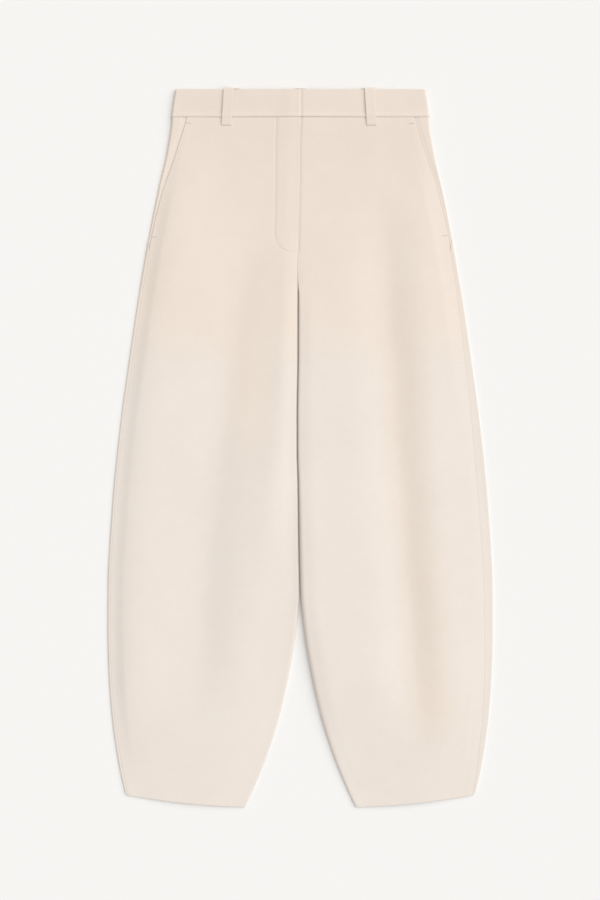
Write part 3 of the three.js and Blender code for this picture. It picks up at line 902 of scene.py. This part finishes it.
def fly_stitches(name):
    """The curved line of stitches that holds the fly's facing."""
    corner = np.linspace(0, math.pi / 2, 60)
    centre, corner_drop = FLY.width - FLY.across, FLY_END_DROP - FLY.down
    straight = np.linspace(BAND_DROP + 2, corner_drop, 80)[:-1]
    low = np.linspace(centre, 2, 12)[1:]
    from_edge = np.concatenate([
        np.full_like(straight, FLY.width),
        centre + FLY.across * np.cos(corner),
        low,
    ])
    drop = np.concatenate([
        straight,
        corner_drop + FLY.down * np.sin(corner),
        np.full_like(low, FLY_END_DROP),
    ])
    along = np.concatenate([[0], np.cumsum(np.hypot(np.diff(from_edge), np.diff(drop)))])
    stitches = []
    for begin in np.arange(0, along[-1] - STITCH.length, STITCH.pitch):
        at = begin + np.linspace(0, STITCH.length, len(STITCH_TAPER))
        u, v = np.interp(at, along, from_edge), np.interp(at, along, drop)
        start = front_start(-1, v)
        stitches.append(on_front(-1, v, u + start, fly_relief(u, v), STITCH_LIFT))
    return thread(name, stitches)


def bar_tacks(name):
    """The short bars of close stitches at both ends of each pocket."""
    stitches = []
    for tack in TACKS:
        turn = math.radians(tack["turn"])
        for along in np.arange(-TACK.length / 2, TACK.length / 2, TACK.pitch):
            across = np.linspace(-TACK.width / 2, TACK.width / 2, len(STITCH_TAPER))
            x = tack["x"] + along * math.cos(turn) - across * math.sin(turn)
            drop = tack["drop"] + along * math.sin(turn) + across * math.cos(turn)
            raised = np.full_like(across, SEAM_ALLOWANCE.rise)
            stitches.append(on_front(tack["side"], drop, x, raised, STITCH_LIFT))
    return thread(name, stitches)


def add_node(tree, kind, inputs=None, **settings):
    """A shader node with its settings. inputs gives values, or the sockets that feed them."""
    node = tree.nodes.new(kind)
    for key, value in settings.items():
        setattr(node, key, value)
    for key, value in (inputs or {}).items():
        if isinstance(value, bpy.types.NodeSocket):
            tree.links.new(value, node.inputs[key])
        else:
            node.inputs[key].default_value = value
    return node


def noise(tree, at, size, detail=2.0, stretch=(1, 1, 1), turn=0.0):
    """Noise with blotches of about this size, in metres."""
    mapped = add_node(tree, "ShaderNodeMapping", {
        "Vector": at,
        "Scale": [part / size for part in stretch],
        "Rotation": (0, 0, turn),
    })
    return add_node(tree, "ShaderNodeTexNoise", {
        "Vector": mapped.outputs[0], "Scale": 1.0, "Detail": detail, "Roughness": 0.6,
    }).outputs[0]


def blend_numbers(tree, operation, first, second):
    """Two numbers put together by a Math node."""
    return add_node(tree, "ShaderNodeMath", {0: first, 1: second}, operation=operation).outputs[0]


def soft_step(tree, number, start, end):
    """0 before start and 1 after end, with a soft step between them."""
    return add_node(tree, "ShaderNodeMapRange", {
        "Value": number, "From Min": start, "From Max": end,
    }, interpolation_type="SMOOTHSTEP").outputs[0]


def off_band(tree, number, middle, reach, strength):
    """1 outside a soft band of numbers round its middle, and less than 1 in it by its strength."""
    distance = blend_numbers(tree, "ABSOLUTE", blend_numbers(tree, "SUBTRACT", number, middle), 0.0)
    band = blend_numbers(tree, "MULTIPLY", soft_step(tree, distance, reach, 0.25 * reach), strength)
    return blend_numbers(tree, "SUBTRACT", 1.0, band)


def add_up(tree, *parts):
    """Numbers added up, each times its share."""
    total = None
    for number, share in parts:
        part = blend_numbers(tree, "MULTIPLY", number, share)
        total = part if total is None else blend_numbers(tree, "ADD", total, part)
    return total


def tinted(tree, colour, tint, share):
    """A colour times a tint, by the share of the tint at each place."""
    return add_node(tree, "ShaderNodeMix", {
        0: share, 6: colour, 7: (*tint, 1),
    }, data_type="RGBA", blend_type="MULTIPLY").outputs[2]


def wool_material():
    """Cream double-faced wool: a fine felted nap over a faint twill, a little uneven in colour, with
    painted light and shade.
    """
    material = bpy.data.materials.new("wool_cloth")
    material.use_nodes = True
    tree = material.node_tree
    shader = tree.nodes["Principled BSDF"]
    cloth = add_node(tree, "ShaderNodeUVMap", uv_map="cloth").outputs[0]
    place = add_node(tree, "ShaderNodeTexCoord").outputs["Object"]

    clouds = noise(tree, place, size=0.12, detail=1.0)
    blotches = noise(tree, cloth, size=0.022, detail=2.0)
    felt = noise(tree, cloth, size=0.0035, detail=2.0)
    nap = noise(tree, cloth, size=0.0011, detail=3.0)
    fibres = noise(tree, cloth, size=0.0009, detail=2.0, stretch=(2.4, 0.45, 1), turn=0.5)
    twill = add_node(tree, "ShaderNodeTexWave", {
        "Vector": cloth, "Scale": TWILL_SCALE, "Distortion": 1.5, "Detail": 1.0, "Detail Scale": 60.0,
    }, bands_direction="DIAGONAL").outputs["Fac"]

    shade = add_up(tree, (clouds, 0.28), (blotches, 0.22), (felt, 0.28), (nap, 0.22))
    ramp = add_node(tree, "ShaderNodeValToRGB", {"Fac": shade})
    ramp.color_ramp.elements[0].position = 0.30
    ramp.color_ramp.elements[0].color = (*WOOL_DARK, 1)
    ramp.color_ramp.elements[1].position = 0.70
    ramp.color_ramp.elements[1].color = (*WOOL_LIGHT, 1)
    # Painted light and shade: the legs are tinted paler where they are lit, while two valleys keep the
    # waist's darker, warmer colour as painted shade
    parts = add_node(tree, "ShaderNodeSeparateXYZ", {0: place}).outputs
    x, y = parts["X"], parts["Y"]
    slanting = blend_numbers(tree, "ADD", x, blend_numbers(tree, "MULTIPLY", y, LEFT_SHADED_VALLEY.lean))
    strength = soft_step(tree, y, *LEFT_SHADED_VALLEY.ends)
    off_left = off_band(tree, slanting, LEFT_SHADED_VALLEY.middle, LEFT_SHADED_VALLEY.reach, strength)
    strength = soft_step(tree, y, *RIGHT_SHADED_VALLEY.ends)
    off_right = off_band(tree, x, RIGHT_SHADED_VALLEY.middle, RIGHT_SHADED_VALLEY.reach, strength)
    off_shaded_valleys = blend_numbers(tree, "MULTIPLY", off_left, off_right)
    legs = blend_numbers(tree, "MULTIPLY", soft_step(tree, y, *LIT_PALER_FROM_TO), off_shaded_valleys)
    lit_pale_colour = tinted(tree, ramp.outputs[0], LIT_PALER, legs)
    # Painted shade: the cloth darkens towards the waistband
    colour = tinted(tree, lit_pale_colour, SHADED_DEEPER, soft_step(tree, y, *SHADED_DEEPER_FROM_TO))
    tree.links.new(colour, shader.inputs["Base Color"])

    bumps = add_node(tree, "ShaderNodeBump", {
        "Height": add_up(tree, (nap, 0.55), (fibres, 0.35), (twill, 0.03)),
        "Distance": 0.00028,
        "Strength": 1.0,
    })
    tree.links.new(bumps.outputs[0], shader.inputs["Normal"])
    shader.inputs["Roughness"].default_value = 0.93
    shader.inputs["Specular IOR Level"].default_value = 0.12
    shader.inputs["Sheen Weight"].default_value = 0.08
    shader.inputs["Sheen Roughness"].default_value = 0.55
    shader.inputs["Sheen Tint"].default_value = (1.0, 0.965, 0.92, 1)
    return material


def thread_material():
    """Matt sewing thread in the cloth's colour, with a fine twist."""
    material = bpy.data.materials.new("sewing_thread")
    material.use_nodes = True
    tree = material.node_tree
    shader = tree.nodes["Principled BSDF"]
    place = add_node(tree, "ShaderNodeTexCoord").outputs["Object"]
    twist = add_node(tree, "ShaderNodeTexWave", {
        "Vector": place, "Scale": 700.0, "Distortion": 0.6,
    }, bands_direction="DIAGONAL").outputs["Fac"]
    ramp = add_node(tree, "ShaderNodeValToRGB", {"Fac": twist})
    ramp.color_ramp.elements[0].color = (*THREAD_DARK, 1)
    ramp.color_ramp.elements[1].color = (*THREAD_LIGHT, 1)
    tree.links.new(ramp.outputs[0], shader.inputs["Base Color"])
    bumps = add_node(tree, "ShaderNodeBump", {"Height": twist, "Distance": 0.00005, "Strength": 0.6})
    tree.links.new(bumps.outputs[0], shader.inputs["Normal"])
    shader.inputs["Roughness"].default_value = 0.7
    return material


def floor():
    """A plain pale floor, just under the cloth."""
    bpy.ops.mesh.primitive_plane_add(size=30, location=(0, 0, -0.0002))
    plane = bpy.context.object
    plane.name = "floor"
    material = bpy.data.materials.new("pale_floor")
    material.use_nodes = True
    shader = material.node_tree.nodes["Principled BSDF"]
    shader.inputs["Base Color"].default_value = (*FLOOR_COLOUR, 1)
    shader.inputs["Roughness"].default_value = 1.0
    shader.inputs["Specular IOR Level"].default_value = 0.0
    plane.data.materials.append(material)
    return plane


def lighting():
    """Even light from all round, and a broad soft light from the upper right."""
    world = bpy.data.worlds.new("studio")
    bpy.context.scene.world = world
    world.use_nodes = True
    background = world.node_tree.nodes["Background"]
    background.inputs["Color"].default_value = (*WORLD_COLOUR, 1)
    background.inputs["Strength"].default_value = WORLD_STRENGTH
    sun = bpy.data.lights.new("soft_light", "SUN")
    sun.energy = SUN_STRENGTH
    sun.angle = SUN_ANGLE
    sun.color = SUN_COLOUR
    lamp = bpy.data.objects.new("soft_light", sun)
    lamp.rotation_euler = (-SUN_FROM).to_track_quat("-Z", "Y").to_euler()
    bpy.context.scene.collection.objects.link(lamp)
    bpy.context.scene.view_settings.view_transform = "Standard"


def camera():
    """Straight above, as the photograph was taken."""
    data = bpy.data.cameras.new("camera")
    data.lens = LENS
    data.sensor_width = SENSOR
    data.sensor_height = SENSOR
    data.sensor_fit = "VERTICAL"
    obj = bpy.data.objects.new("camera", data)
    obj.location = (LOOK_AT[0] * MM, LOOK_AT[1] * MM, PHOTO_HEIGHT * MM * LENS / SENSOR)
    bpy.context.scene.collection.objects.link(obj)
    bpy.context.scene.camera = obj


def dress(node, made):
    """Puts a piece of cloth in its node's place, and hides the node's own solid."""
    piece, cut = made
    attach(piece, "root")
    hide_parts(node)


camera()
lighting()
ground = floor()
WOOL = wool_material()
THREAD = thread_material()

for side_name, side in SIDES.items():
    back = "back_" + side_name
    dress(back, back_panel("cloth_" + back, side))
    front = "front_" + side_name
    dress(front, front_panel("cloth_" + front, side))
    band = "waistband_" + side_name
    dress(band, waistband("cloth_" + band, side))
    facing = "pocket_facing_" + side_name
    dress(facing, pocket_facing("cloth_" + facing, side))
dress("fly_facing", fly_facing("cloth_fly_facing"))
for node, sizes in LOOPS.items():
    dress(node, belt_loop("cloth_" + node, **sizes))

for piece in (fly_stitches("fly_stitching"), bar_tacks("pocket_tacks")):
    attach(piece, "root")
